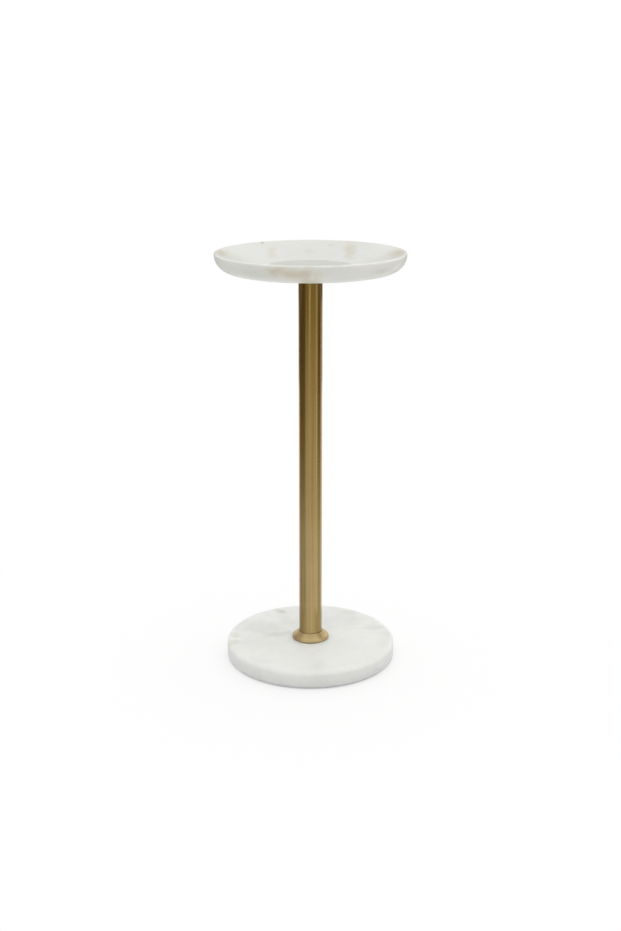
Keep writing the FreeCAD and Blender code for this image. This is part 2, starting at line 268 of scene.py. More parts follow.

# Each stain in the stone, or painted highlight on it: its middle, how far it reaches along its own axes,
# its turn about the upright in degrees, its colour, and how strong it is.
BASE_STAINS_AND_HIGHLIGHTS = [
    # A pale patch over the front of the top: partly the stone's own paler tone, partly a painted highlight
    # along the front edge.
    ((0.025, -0.070, 0.0255), (0.120, 0.075, 0.03), 0, BASE_WHITE, 0.90),
    ((0.050, 0.065, 0.0255), (0.075, 0.045, 0.03), -30, STONE_CLOUD, 0.52),
    ((-0.070, 0.015, 0.0255), (0.075, 0.110, 0.04), 0, STONE_CLOUD, 0.38),
    ((-0.047, 0.093, 0.0255), (0.022, 0.007, 0.02), -35, STONE_VEIN, 0.40),
    ((-0.041, 0.088, 0.0255), (0.009, 0.006, 0.02), -35, STONE_VEIN, 0.45),
    ((-0.046, 0.009, 0.0255), (0.024, 0.013, 0.02), 30, STONE_VEIN, 0.36),
    ((-0.074, 0.031, 0.0255), (0.052, 0.026, 0.02), -12, STONE_CLOUD, 0.55),
    ((0.058, 0.086, 0.0255), (0.028, 0.012, 0.02), -41, STONE_VEIN, 0.28),
    ((0.065, 0.067, 0.0255), (0.012, 0.010, 0.02), 0, STONE_TAN, 0.20),
    ((0.096, 0.029, 0.0255), (0.020, 0.014, 0.02), 20, STONE_CLOUD, 0.55),
    ((-0.107, 0.001, 0.0255), (0.009, 0.013, 0.02), 0, STONE_TAN, 0.36),
    ((-0.109, -0.022, 0.0245), (0.009, 0.012, 0.02), 0, STONE_TAN, 0.28),
    ((0.010, -0.095, 0.0255), (0.014, 0.026, 0.02), 0, STONE_CLOUD, 0.28),
]


def calculate(material, operation, first, second=0.0):
    """Work out a sum, product or other figure of two values."""
    return add_node(material, "Math", {0: first, 1: second}, operation=operation).outputs[0]


def length_of(material, vector):
    """How long a vector is."""
    return add_node(material, "VectorMath", {0: vector}, operation="LENGTH").outputs["Value"]


def from_upright(material, place):
    """How far a place is from the table's upright axis."""
    axes = add_node(material, "SeparateXYZ", {"Vector": place}).outputs
    flat_place = add_node(material, "CombineXYZ", {"X": axes["X"], "Y": axes["Y"]}).outputs[0]
    return length_of(material, flat_place)


def make_marble(name, white, stains_and_highlights, least_roughness, painted_shade_radius=0.0):
    """White marble: grey clouds, faint level beds, the stained patches of one block and any painted
    highlights, and a fine crystal grain. Within the given radius a painted shade makes it a little greyer."""
    stone, place = new_finish(name)
    warp_scale, warp_detail = STONE_EDDIES
    inputs = {"Vector": place, "Scale": warp_scale, "Detail": warp_detail}
    eddies = add_node(stone, "TexNoise", inputs).outputs["Color"]
    inputs = {0: eddies, 1: (STONE_WARP,) * 3, 2: place}
    drawn = add_node(stone, "VectorMath", inputs, operation="MULTIPLY_ADD").outputs[0]
    clouds = speckle(stone, drawn, *STONE_CLOUDS)
    colour = tint(stone, white, STONE_CLOUD, clouds, CLOUD_SHADE)
    layers = add_node(stone, "Mapping", {"Vector": drawn, "Scale": STONE_BEDDING}).outputs[0]
    colour = tint(stone, colour, STONE_CLOUD, speckle(stone, layers), BED_SHADE)
    mottle = speckle(stone, drawn, *STONE_MOTTLE)
    colour = tint(stone, colour, STONE_CLOUD, mottle, MOTTLE_SHADE)

    wisps = calculate(stone, "SUBTRACT", speckle(stone, place, *STONE_WISPS), NOISE_MIDDLE)
    ragged = calculate(stone, "MULTIPLY", wisps, PATCH_RAGGED)
    for middle, reach, turn_angle, patch_colour, strength in stains_and_highlights:
        inputs = {"Vector": place, "Location": middle, "Scale": reach}
        spot = add_node(stone, "Mapping", inputs, vector_type="TEXTURE")
        spot.inputs["Rotation"].default_value[2] = math.radians(turn_angle)
        distance = calculate(stone, "ADD", length_of(stone, spot.outputs[0]), ragged)
        shading = (PATCH_EDGE, PATCH_HEART, strength)
        colour = tint(stone, colour, patch_colour, distance, shading)

    grain = speckle(stone, place, *STONE_GRAIN)
    colour = tint(stone, colour, STONE_CLOUD, grain, GRAIN_SHADE)
    # Painted shade: within the radius the stone is multiplied by a grey tone.
    radius = from_upright(stone, place)
    inside = ease(stone, radius, painted_shade_radius + PAINTED_SHADE_EDGE, painted_shade_radius - PAINTED_SHADE_EDGE)
    colour = lay_over(stone, inside, colour, PAINTED_SHADE_TONE, "MULTIPLY")
    most_roughness = least_roughness + DULLING
    roughness = ease(stone, clouds, DULL_START, DULL_FULL, most_roughness, least_roughness)
    waves = speckle(stone, place, *STONE_WAVES)
    glow = {
        "Subsurface_Weight": STONE_GLOW,
        "Subsurface_Scale": STONE_GLOW_REACH,
        "Subsurface_Radius": STONE_GLOW_SHARES,
    }
    set_finish(stone, colour, roughness, waves, STONE_RELIEF, IOR=STONE_IOR, **glow)
    return stone


base_low, base_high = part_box("base_disc")
base_radius = base_high.x
counterbore_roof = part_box("base_gasket")[1].z
base_top_edge = (base_radius, base_high.z)
base_foot_edge = (base_radius, base_low.z)
counterbore_edge = (COUNTERBORE_RADIUS, base_low.z)
base_section = [
    (BOLT_HOLE_RADIUS, base_high.z),
    base_top_edge,
    base_foot_edge,
    counterbore_edge,
    (COUNTERBORE_RADIUS, counterbore_roof),
    (BOLT_HOLE_RADIUS, counterbore_roof),
    (BOLT_HOLE_RADIUS, base_high.z),
]
base = turn("marble_base", base_section, BASE_SIDES)
round_off(base_top_edge, BASE_ARRIS, BASE_ARRIS_STEPS)
round_off(base_foot_edge, BASE_FOOT_ROUND, BASE_FOOT_STEPS)
round_off(counterbore_edge, COUNTERBORE_CHAMFER)
shade(base)
base.data.materials.append(make_marble("honed_marble", BASE_WHITE, BASE_STAINS_AND_HIGHLIGHTS, HONED_ROUGHNESS))
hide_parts("base_disc")
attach(base, "root")


# Rubber ring
# A ring cut from black rubber sheet, laid in the counterbore between the stone and the steel washer so
# that the bolt can be drawn up tight without cracking the stone.
RUBBER_SIDES = 96
RUBBER_EDGE = 0.0003
RING_EDGE_STEPS = 2
RUBBER_DARK = (0.012, 0.012, 0.012, 1.0)
RUBBER_WORN = (0.035, 0.034, 0.033, 1.0)
RUBBER_GRAIN = 1500.0
RUBBER_ROUGHNESS = (0.2, 0.8, 0.75, 0.50)
RUBBER_RELIEF = 0.00005


def make_ring(name, node, sides, edge):
    """A flat ring that fits the bolt's hole, with all four of its edges rounded."""
    low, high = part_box(node)
    corners = [(BOLT_HOLE_RADIUS, high.z), (high.x, high.z), (high.x, low.z), (BOLT_HOLE_RADIUS, low.z)]
    ring = turn(name, corners + corners[:1], sides)
    for corner in corners:
        round_off(corner, edge, RING_EDGE_STEPS)
    shade(ring)
    return ring


rubber, rubber_place = new_finish("black_rubber")
rubber_grain = speckle(rubber, rubber_place, RUBBER_GRAIN)
rubber_colour = lay_over(rubber, rubber_grain, RUBBER_DARK, RUBBER_WORN)
rubber_roughness = ease(rubber, rubber_grain, *RUBBER_ROUGHNESS)
set_finish(rubber, rubber_colour, rubber_roughness, rubber_grain, RUBBER_RELIEF)
rubber_ring = make_ring("rubber_ring", "base_gasket", RUBBER_SIDES, RUBBER_EDGE)
rubber_ring.data.materials.append(rubber)
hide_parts("base_gasket")
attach(rubber_ring, "root")


# Plain washer
# A wide stamped steel washer, zinc plated, that spreads the bolt's pull over the rubber ring. The
# punch rounds its edges a little.
WASHER_SIDES = 96
WASHER_EDGE = 0.0004
ZINC_BRIGHT = (0.60, 0.60, 0.585, 1.0)
ZINC_DULL = (0.40, 0.405, 0.40, 1.0)
ZINC_CLOUDS = 160.0
ZINC_GRAIN = 1900.0
ZINC_SHADE = (0.30, 0.75, 1.0)
ZINC_ROUGHNESS = (0.25, 0.75, 0.45, 0.28)
ZINC_RELIEF = 0.00002

zinc, zinc_place = new_finish("zinc_plated_steel")
zinc_grain = speckle(zinc, zinc_place, ZINC_GRAIN)
zinc_clouds = speckle(zinc, zinc_place, ZINC_CLOUDS)
zinc_colour = tint(zinc, ZINC_BRIGHT, ZINC_DULL, zinc_clouds, ZINC_SHADE)
zinc_roughness = ease(zinc, zinc_clouds, *ZINC_ROUGHNESS)
set_finish(zinc, zinc_colour, zinc_roughness, zinc_grain, ZINC_RELIEF, Metallic=1.0)
plain_washer = make_ring("plain_washer", "base_washer", WASHER_SIDES, WASHER_EDGE)
plain_washer.data.materials.append(zinc)
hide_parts("base_washer")
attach(plain_washer, "root")


# Split washer
# A spring ring wound from square steel wire and cut through at one side. Drawn up tight it lies flat
# and keeps the bolt from working loose.
SPLIT_SLIT = 0.0015
SPLIT_EDGE = 0.00025
SPLIT_EDGE_STEPS = 2
SPLIT_STEPS = 72

# Spin runs clockwise about its axis, so the axis points down to turn a shape the other way.
SPIN_AXIS = (0.0, 0.0, -1.0)

split_low, split_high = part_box("spring_washer")
split_radius = split_high.y
split_width = split_radius - BOLT_HOLE_RADIUS
split_middle = BOLT_HOLE_RADIUS + split_width / 2
split_gap = 2 * math.asin(SPLIT_SLIT / 2 / split_middle)
bpy.ops.object.select_all(action="DESELECT")
bpy.ops.mesh.primitive_plane_add(
    size=1.0,
    location=(split_middle, 0.0, (split_low.z + split_high.z) / 2),
    rotation=(math.pi / 2, 0.0, 0.0),
)
split_washer = bpy.context.object
split_washer.name = "split_washer"
split_washer.scale = (split_width, split_high.z - split_low.z, 1.0)
bpy.ops.object.transform_apply()
bpy.ops.object.mode_set(mode="EDIT")
bpy.ops.mesh.select_all(action="SELECT")
bpy.ops.mesh.bevel(offset=SPLIT_EDGE, segments=SPLIT_EDGE_STEPS, affect="VERTICES")
bpy.ops.mesh.select_all(action="SELECT")
bpy.ops.mesh.spin(
    steps=SPLIT_STEPS,
    angle=2 * math.pi - split_gap,
    center=(0.0, 0.0, 0.0),
    axis=SPIN_AXIS,
)
bpy.ops.mesh.select_all(action="SELECT")
bpy.ops.mesh.remove_doubles(threshold=CLOSE)
bpy.ops.mesh.normals_make_consistent(inside=False)
shade(split_washer)
split_washer.rotation_euler.z = split_gap / 2
bpy.ops.object.transform_apply()
split_washer.data.materials.append(zinc)
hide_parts("spring_washer")
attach(split_washer, "root")


# Bolt
# A zinc-plated hexagon bolt, head down in the counterbore. It passes through the stone and the collar
# and screws into the plug in the post's foot, and so clamps the three together.
BOLT_SIDES = 72
HEAD_FLATS = 0.016
HEAD_HEIGHT = 0.0064
HEAD_CHAMFER_SHARE = 0.94
HEAD_CHAMFER_SLOPE = math.radians(30)
HEAD_CHAMFER_STEPS = 6
HEX_TURN = math.radians(60)
THREAD_RADIUS = 0.005
THREAD_PITCH = 0.0015
THREAD_DEPTH = 0.00085
THREAD_STEPS = 8
PLAIN_SHANK = 0.004
BOLT_TIP = 0.001


def press_flats(piece, flats, low, high):
    """Press the head of a turned blank, between two levels, to a hexagon of this width across flats."""
    for vertex in piece.data.vertices:
        if not low - CLOSE < vertex.co.z < high + CLOSE:
            continue
        angle = math.atan2(vertex.co.y, vertex.co.x) % HEX_TURN - HEX_TURN / 2
        most = flats / 2 / math.cos(angle)
        radius = math.hypot(vertex.co.x, vertex.co.y)
        if radius > most:
            vertex.co.xy *= most / radius


def cut_thread(piece, low, high):
    """Sink a helical groove into a blank of the thread's radius, running out at both ends."""
    for vertex in piece.data.vertices:
        radius = math.hypot(vertex.co.x, vertex.co.y)
        run_out = min(vertex.co.z - low, high - vertex.co.z) / THREAD_PITCH
        if run_out <= 0 or radius < THREAD_RADIUS - CLOSE:
            continue
        lead = math.atan2(vertex.co.y, vertex.co.x) / (2 * math.pi)
        phase = (vertex.co.z / THREAD_PITCH - lead) % 1
        sink = THREAD_DEPTH * (1 - abs(2 * phase - 1)) * min(run_out, 1)
        vertex.co.xy *= 1 - sink / radius


def thread_levels(low, high):
    """Levels of the rings along a thread, close enough to carry its groove."""
    count = math.ceil((high - low) / THREAD_PITCH * THREAD_STEPS)
    return [low + (high - low) * step / count for step in range(count + 1)]


bolt_low, bolt_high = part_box("base_bolt")
head_top = bolt_low.z + HEAD_HEIGHT
head_corner = HEAD_FLATS / 2 / math.cos(HEX_TURN / 2)
head_face = HEAD_FLATS / 2 * HEAD_CHAMFER_SHARE
bolt_section = []
for step in range(HEAD_CHAMFER_STEPS + 1):
    chamfer_radius = head_face + (head_corner - head_face) * step / HEAD_CHAMFER_STEPS
    chamfer_rise = (chamfer_radius - head_face) * math.tan(HEAD_CHAMFER_SLOPE)
    bolt_section.append((chamfer_radius, bolt_low.z + chamfer_rise))
bolt_section += [(head_corner, head_top), (THREAD_RADIUS, head_top)]
thread_start = head_top + PLAIN_SHANK
thread_end = bolt_high.z - BOLT_TIP
bolt_section += [(THREAD_RADIUS, level) for level in thread_levels(thread_start, thread_end)]
bolt_section.append((THREAD_RADIUS - BOLT_TIP, bolt_high.z))
bolt = turn("hex_bolt", bolt_section, BOLT_SIDES)
bpy.ops.object.mode_set(mode="OBJECT")
press_flats(bolt, HEAD_FLATS, bolt_low.z, head_top)
cut_thread(bolt, thread_start, thread_end)
shade(bolt)
bolt.data.materials.append(zinc)
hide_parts("base_bolt")
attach(bolt, "root")


# Collar
# A brass collar turned from bar: an upright band on the stone, rounded over into a cone up to the post,
# and a socket that the post stands in. It keeps the fine rings of the lathe and is lacquered satin.
# Painted shade darkens it at its sides and up the cone close to the post, and a painted shadow runs where
# it meets the stone.
COLLAR_SIDES = 192
COLLAR_BAND = 0.0035
COLLAR_LIP = 0.0008
COLLAR_FLOOR = 0.003
COLLAR_CLEARANCE = 0.0001
COLLAR_SHOULDER = 0.003
COLLAR_SHOULDER_STEPS = 8
COLLAR_FOOT = 0.0005
COLLAR_FOOT_STEPS = 4
COLLAR_LIP_ARRIS = 0.0002
COLLAR_LIP_STEPS = 2
COLLAR_BRASS = (0.655, 0.500, 0.255, 1.0)
COLLAR_SHADE = (0.480, 0.365, 0.190, 1.0)
# The colour of the painted shadow where the collar meets the stone.
COLLAR_PAINTED_SHADOW = (0.170, 0.145, 0.070, 1.0)
BRIGHT_MIDDLE = 0.004
LATHE_RINGS = 1400.0
LATHE_RELIEF = 0.000012
PATINA_CLOUDS = 60.0
COLLAR_ROUGHNESS = (0.2, 0.8, 0.40, 0.28)

# How its patina and the lathe's rings shade it, then the painted shade to each side of its bright middle
# and up the cone towards the post, and the painted shadow down the band to the stone.
PATINA_SHADE = (0.35, 0.80, 0.60)
RING_SHADE = (0.50, 0.80, 0.50)
COLLAR_PAINTED_SIDES = (0.016, 0.027, 0.90)
COLLAR_PAINTED_CONE = (0.0050, 0.0085, 0.55)
COLLAR_PAINTED_FOOT = (0.0024, 0.0008, 0.65)

turned_brass, collar_place = new_finish("turned_brass")
collar_axes = add_node(turned_brass, "SeparateXYZ", {"Vector": collar_place}).outputs
ring_place = {"X": from_upright(turned_brass, collar_place), "Z": collar_axes["Z"]}
ring_place = add_node(turned_brass, "CombineXYZ", ring_place).outputs[0]
lathe_rings = speckle(turned_brass, ring_place, LATHE_RINGS)
patina = speckle(turned_brass, collar_place, PATINA_CLOUDS)
collar_low, collar_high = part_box("base_collar")
to_one_side = calculate(turned_brass, "SUBTRACT", collar_axes["X"], BRIGHT_MIDDLE)
to_one_side = calculate(turned_brass, "ABSOLUTE", to_one_side)
above_stone = calculate(turned_brass, "SUBTRACT", collar_axes["Z"], collar_low.z)
collar_colour = tint(turned_brass, COLLAR_BRASS, COLLAR_SHADE, patina, PATINA_SHADE)
collar_colour = tint(turned_brass, collar_colour, COLLAR_SHADE, lathe_rings, RING_SHADE)
# Painted shade: darker to each side of the bright middle, and up the cone close to the post.
collar_colour = tint(turned_brass, collar_colour, COLLAR_SHADE, to_one_side, COLLAR_PAINTED_SIDES)
collar_colour = tint(turned_brass, collar_colour, COLLAR_SHADE, above_stone, COLLAR_PAINTED_CONE)
# Painted shadow: a dark line down the band where the collar meets the stone.
collar_colour = tint(turned_brass, collar_colour, COLLAR_PAINTED_SHADOW, above_stone, COLLAR_PAINTED_FOOT)
collar_roughness = ease(turned_brass, lathe_rings, *COLLAR_ROUGHNESS)
set_finish(turned_brass, collar_colour, collar_roughness, lathe_rings, LATHE_RELIEF, Metallic=1.0)

post_low, post_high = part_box("post_tube")
post_radius = post_high.x
collar_bore = post_radius + COLLAR_CLEARANCE
band_top = collar_low.z + COLLAR_BAND
socket_floor = collar_low.z + COLLAR_FLOOR
collar_foot_edge = (collar_high.x, collar_low.z)
collar_band_edge = (collar_high.x, band_top)
collar_lip_edge = (collar_bore + COLLAR_LIP, collar_high.z)
collar_mouth_edge = (collar_bore, collar_high.z)
cone_lean = math.atan2(collar_high.x - collar_lip_edge[0], collar_high.z - band_top)
shoulder_reach = COLLAR_SHOULDER * math.tan(cone_lean / 2)
collar_section = [
    (BOLT_HOLE_RADIUS, collar_low.z),
    collar_foot_edge,
    collar_band_edge,
    collar_lip_edge,
    collar_mouth_edge,
    (collar_bore, socket_floor),
    (BOLT_HOLE_RADIUS, socket_floor),
    (BOLT_HOLE_RADIUS, collar_low.z),
]
collar = turn("turned_collar", collar_section, COLLAR_SIDES)
round_off(collar_foot_edge, COLLAR_FOOT, COLLAR_FOOT_STEPS)
round_off(collar_band_edge, shoulder_reach, COLLAR_SHOULDER_STEPS)
round_off(collar_lip_edge, COLLAR_LIP_ARRIS, COLLAR_LIP_STEPS)
round_off(collar_mouth_edge, COLLAR_LIP_ARRIS, COLLAR_LIP_STEPS)
shade(collar)
collar.data.materials.append(turned_brass)
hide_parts("base_collar")
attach(collar, "root")


# Post
# A straight drawn brass tube, aged to a soft brown gold and rubbed lengthwise to a satin, so that it
# is covered in fine upright streaks. Painted shade darkens it at the sides of its foot. It stands in the
# collar's socket and carries the tray.
POST_SIDES = 192
POST_WALL = 0.0015
POST_ARRIS = 0.0003
POST_ARRIS_STEPS = 2
POST_BRASS = (0.530, 0.400, 0.190, 1.0)
POST_SHADE = (0.345, 0.245, 0.098, 1.0)
# The colour of the painted shade at the sides of the post's foot.
POST_PAINTED_SHADE = (0.300, 0.210, 0.080, 1.0)
STREAK_DRAW = (1.0, 1.0, 0.004)
STREAKS = 620.0
FINE_STREAKS = 1300.0
STREAK_RELIEF = 0.00002
POST_PATINA = 22.0
POST_ROUGHNESS = (0.25, 0.75, 0.27, 0.19)

# How its streaks and its patina shade it, then how painted shade darkens it to the left, to the right and
# downwards at its foot.
STREAK_SHADE = (0.40, 0.70, 0.70)
FINE_STREAK_SHADE = (0.45, 0.80, 0.50)
POST_PATINA_SHADE = (0.45, 0.85, 0.30)
POST_PAINTED_LEFT = (-0.003, -0.012, 0.95)
POST_PAINTED_RIGHT = (0.001, 0.011, 0.55)
POST_PAINTED_FOOT = (0.080, 0.062, 1.0)

brushed_brass, post_place = new_finish("brushed_brass")
drawn_place = {"Vector": post_place, "Scale": STREAK_DRAW}
drawn_place = add_node(brushed_brass, "Mapping", drawn_place).outputs[0]
streaks = speckle(brushed_brass, drawn_place, STREAKS)
fine_streaks = speckle(brushed_brass, drawn_place, FINE_STREAKS)
post_patina = speckle(brushed_brass, post_place, POST_PATINA)
post_colour = tint(brushed_brass, POST_BRASS, POST_SHADE, streaks, STREAK_SHADE)
post_colour = tint(brushed_brass, post_colour, POST_SHADE, fine_streaks, FINE_STREAK_SHADE)
post_colour = tint(brushed_brass, post_colour, POST_SHADE, post_patina, POST_PATINA_SHADE)
post_axes = add_node(brushed_brass, "SeparateXYZ", {"Vector": post_place}).outputs
# Painted shade at the sides of the post's foot, fading out upwards.
left_painted = ease(brushed_brass, post_axes["X"], *POST_PAINTED_LEFT)
right_painted = ease(brushed_brass, post_axes["X"], *POST_PAINTED_RIGHT)
side_painted = calculate(brushed_brass, "MAXIMUM", left_painted, right_painted)
foot_painted = ease(brushed_brass, post_axes["Z"], *POST_PAINTED_FOOT)
corner_painted = calculate(brushed_brass, "MULTIPLY", side_painted, foot_painted)
post_colour = lay_over(brushed_brass, corner_painted, post_colour, POST_PAINTED_SHADE)
post_roughness = ease(brushed_brass, streaks, *POST_ROUGHNESS)
set_finish(brushed_brass, post_colour, post_roughness, fine_streaks, STREAK_RELIEF, Metallic=1.0)

post_bore = post_radius - POST_WALL
post_corners = [
    (post_bore, post_low.z),
    (post_radius, post_low.z),
    (post_radius, post_high.z),
    (post_bore, post_high.z),
]
post = turn("brass_post", post_corners + post_corners[:1], POST_SIDES)
for corner in post_corners:
    round_off(corner, POST_ARRIS, POST_ARRIS_STEPS)
shade(post)
post.data.materials.append(brushed_brass)
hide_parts("post_tube")
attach(post, "root")


# Plugs
# Two steel plugs with a tapped hole, pressed and brazed into the ends of the post. The lower one takes
# the bolt and the upper one takes the stud under the tray.
PLUG_SIDES = 96
PLUG_CHAMFER = 0.001
TAPPED_RADIUS = 0.00505
TAPPED_CHAMFER = 0.0005

for plug_name, plug_node in (("lower_plug", "bottom_plug"), ("upper_plug", "top_plug")):
    plug_low, plug_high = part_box(plug_node)
    plug_edges = [(plug_high.x, plug_low.z), (plug_high.x, plug_high.z)]
    tapped_edges = [(TAPPED_RADIUS, plug_high.z), (TAPPED_RADIUS, plug_low.z)]
    plug = turn(plug_name, plug_edges + tapped_edges + plug_edges[:1], PLUG_SIDES)
    for corner in plug_edges:
        round_off(corner, PLUG_CHAMFER)
    for corner in tapped_edges:
        round_off(corner, TAPPED_CHAMFER)
    shade(plug)
    plug.data.materials.append(zinc)
    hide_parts(plug_node)
    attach(plug, "root")


# Stud
# A length of zinc-plated threaded rod with both ends chamfered. It is screwed into the tray's plate,
# and the tray is then spun onto the upper plug by hand.
STUD_SIDES = 72
STUD_CHAMFER = 0.001

stud_low, stud_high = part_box("tray_stud")
stud_start = stud_low.z + STUD_CHAMFER
stud_end = stud_high.z - STUD_CHAMFER
stud_section = [(THREAD_RADIUS - STUD_CHAMFER, stud_low.z)]
stud_section += [(THREAD_RADIUS, level) for level in thread_levels(stud_start, stud_end)]
stud_section.append((THREAD_RADIUS - STUD_CHAMFER, stud_high.z))
stud = turn("threaded_stud", stud_section, STUD_SIDES)
bpy.ops.object.mode_set(mode="OBJECT")
cut_thread(stud, stud_start, stud_end)
shade(stud)
stud.data.materials.append(zinc)
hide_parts("tray_stud")
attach(stud, "root")


# Tray plate
# A steel disc let flush into the underside of the tray and bedded in epoxy. Its boss centres it in the
# top of the post, and its tapped hole takes the stud.
PLATE_SIDES = 192
PLATE_THICKNESS = 0.003
PLATE_EDGE = 0.0004
PLATE_EDGE_STEPS = 2
BOSS_RADIUS = 0.0143
BOSS_CHAMFER = 0.001

plate_low, plate_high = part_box("tray_plate")
plate_underside = plate_high.z - PLATE_THICKNESS
plate_rim_edge = (plate_high.x, plate_underside)
boss_edge = (BOSS_RADIUS, plate_low.z)
plate_section = [
    (TAPPED_RADIUS, plate_low.z),
    boss_edge,
    (BOSS_RADIUS, plate_underside),
    plate_rim_edge,
    (plate_high.x, plate_high.z),
    (TAPPED_RADIUS, plate_high.z),
    (TAPPED_RADIUS, plate_low.z),
]
plate = turn("tray_plate_disc", plate_section, PLATE_SIDES)
round_off(boss_edge, BOSS_CHAMFER)
round_off(plate_rim_edge, PLATE_EDGE, PLATE_EDGE_STEPS)
shade(plate)
plate.data.materials.append(zinc)
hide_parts("tray_plate")
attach(plate, "root")


# Tray
# A shallow dish turned from one block of white marble and polished: a flat foot, an underside that rises
# to a full round corner, a thin rounded lip, a straight slope down to a clear crease, and a level floor
# that painted shade makes a little greyer than the rest.
TRAY_SIDES = 320
FOOT_RADIUS = 0.060
UNDERSIDE_RISE = 0.0049
LIP_RADIUS = 0.0022
LIP_STEPS = 8
LIP_INNER_STEPS = 2
CORNER_STEPS = 20
FLOOR_THICKNESS = 0.009
FLOOR_RADIUS = 0.060
CREASE_RADIUS = 0.006
CREASE_STEPS = 4
RECESS_RADIUS = 0.0453
POLISHED_ROUGHNESS = 0.28
TRAY_WHITE = (0.800, 0.802, 0.762, 1.0)
TRAY_PEACH = (0.600, 0.500, 0.385, 1.0)
TRAY_TAN = (0.640, 0.585, 0.440, 1.0)
TRAY_GREY = (0.400, 0.405, 0.385, 1.0)
TRAY_STAINS_AND_HIGHLIGHTS = [
    ((-0.022, -0.1220, 0.5645), (0.042, 0.020, 0.0110), 0, TRAY_TAN, 0.65),
    ((-0.041, -0.1199, 0.5680), (0.013, 0.012, 0.0060), 0, TRAY_PEACH, 0.45),
    ((-0.030, -0.1212, 0.5633), (0.016, 0.014, 0.0050), 0, TRAY_TAN, 0.45),
    ((-0.008, -0.1250, 0.5645), (0.013, 0.014, 0.0070), 0, TRAY_PEACH, 0.40),
    ((-0.003, -0.1266, 0.5725), (0.012, 0.010, 0.0060), 0, TRAY_TAN, 0.35),
    ((0.002, -0.1160, 0.5540), (0.024, 0.016, 0.0060), 0, TRAY_TAN, 0.55),
    ((0.055, 0.0780, 0.5660), (0.012, 0.056, 0.0200), 0, TRAY_TAN, 0.55),
    ((0.050, 0.0810, 0.5660), (0.005, 0.010, 0.0100), 0, TRAY_GREY, 0.18),
    ((-0.053, 0.0760, 0.5650), (0.008, 0.034, 0.0200), 0, TRAY_TAN, 0.35),
    ((-0.0670, 0.0995, 0.5735), (0.004, 0.007, 0.0050), 0, TRAY_GREY, 0.90),
    ((0.028, 0.1060, 0.5703), (0.006, 0.006, 0.0060), 0, TRAY_GREY, 0.30),
    ((-0.002, 0.0876, 0.5637), (0.008, 0.008, 0.0080), 0, TRAY_GREY, 0.20),
    ((-0.118, 0.0120, 0.5731), (0.013, 0.042, 0.0120), 0, TRAY_TAN, 0.80),
    ((0.115, 0.0120, 0.5720), (0.016, 0.040, 0.0120), 0, TRAY_TAN, 0.80),
    ((0.090, -0.0860, 0.5618), (0.018, 0.016, 0.0070), 0, TRAY_PEACH, 0.22),
    # A painted highlight along the crest of the near lip, in the base's white.
    ((0.000, -0.1300, 0.5762), (0.350, 0.130, 0.0040), 0, BASE_WHITE, 0.90),
    ((-0.070, -0.1050, 0.5610), (0.045, 0.030, 0.0150), 0, TRAY_GREY, 0.10),
    ((0.105, -0.0700, 0.5610), (0.030, 0.030, 0.0150), 0, TRAY_GREY, 0.07),
]

tray_low, tray_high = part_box("tray_top")
tray_radius = tray_high.x
lip_level = tray_high.z - LIP_RADIUS
floor_level = tray_low.z + FLOOR_THICKNESS
corner_level = tray_low.z + UNDERSIDE_RISE

# The inside slope touches the lip's round from above and the crease's round from below.
lip_to_crease = (
    FLOOR_RADIUS - (tray_radius - LIP_RADIUS),
    floor_level + CREASE_RADIUS - lip_level,
)
slope_normal = math.atan2(lip_to_crease[1], lip_to_crease[0]) - math.acos(
    (LIP_RADIUS + CREASE_RADIUS) / math.hypot(*lip_to_crease)
)
slope_tilt = slope_normal % (2 * math.pi) - math.pi / 2
lip_reach = LIP_RADIUS * math.tan(slope_tilt / 2)
crease_reach = CREASE_RADIUS * math.tan(slope_tilt / 2)
corner_edge = (tray_radius, corner_level)
lip_outer_edge = (tray_radius, tray_high.z)
lip_inner_edge = (tray_radius - LIP_RADIUS - lip_reach, tray_high.z)
crease_edge = (FLOOR_RADIUS + crease_reach, floor_level)
tray_section = [
    (RECESS_RADIUS, plate_high.z),
    (RECESS_RADIUS, tray_low.z),
    (FOOT_RADIUS, tray_low.z),
    corner_edge,
    lip_outer_edge,
    lip_inner_edge,
    crease_edge,
]
tray = turn("marble_tray", tray_section, TRAY_SIDES)
round_off(corner_edge, lip_level - corner_level, CORNER_STEPS)
round_off(lip_inner_edge, lip_reach, LIP_INNER_STEPS)
round_off(lip_outer_edge, LIP_RADIUS, LIP_STEPS)
round_off(crease_edge, crease_reach, CREASE_STEPS)
bpy.ops.mesh.select_all(action="SELECT")
bpy.ops.mesh.remove_doubles(threshold=CLOSE)
shade(tray)
tray_finish = (TRAY_WHITE, TRAY_STAINS_AND_HIGHLIGHTS, POLISHED_ROUGHNESS, FLOOR_RADIUS)
tray.data.materials.append(make_marble("polished_marble", *tray_finish))
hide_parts("tray_top")
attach(tray, "root")


# Studio floor
# A wide pale floor that takes the table's soft shadow. Away from the table it fades to plain white, as
# a paper sweep does, and from below it can be seen through. Round the base its paper is darker in the light
# it throws back onto the table, and under the base it is lifted less: both are painted shadow.
FLOOR_WIDTH = 6.0
FLOOR_SIDES = 128
FLOOR_PAPER = (0.87, 0.87, 0.87, 1.0)
# Painted shadow: the paper round the base is darker in the light it throws back, which darkens the base's
# side towards its foot.
FLOOR_PAINTED_SHADOW = (0.45, 0.45, 0.45, 1.0)
FLOOR_PAINTED_SHADOW_START = 0.118
FLOOR_PAINTED_SHADOW_END = 0.165
FLOOR_SEEN = (0.48, 0.48, 0.48, 1.0)
FLOOR_LIFT = 0.54
# Painted shadow: under the base the floor is lifted less, so the gap under the stone reads darker than its
# real shade alone.
FLOOR_SHADOW_LIFT = 0.30
FADE_START = 0.20
FADE_END = 0.60
WHITE = (1.0, 1.0, 1.0, 1.0)


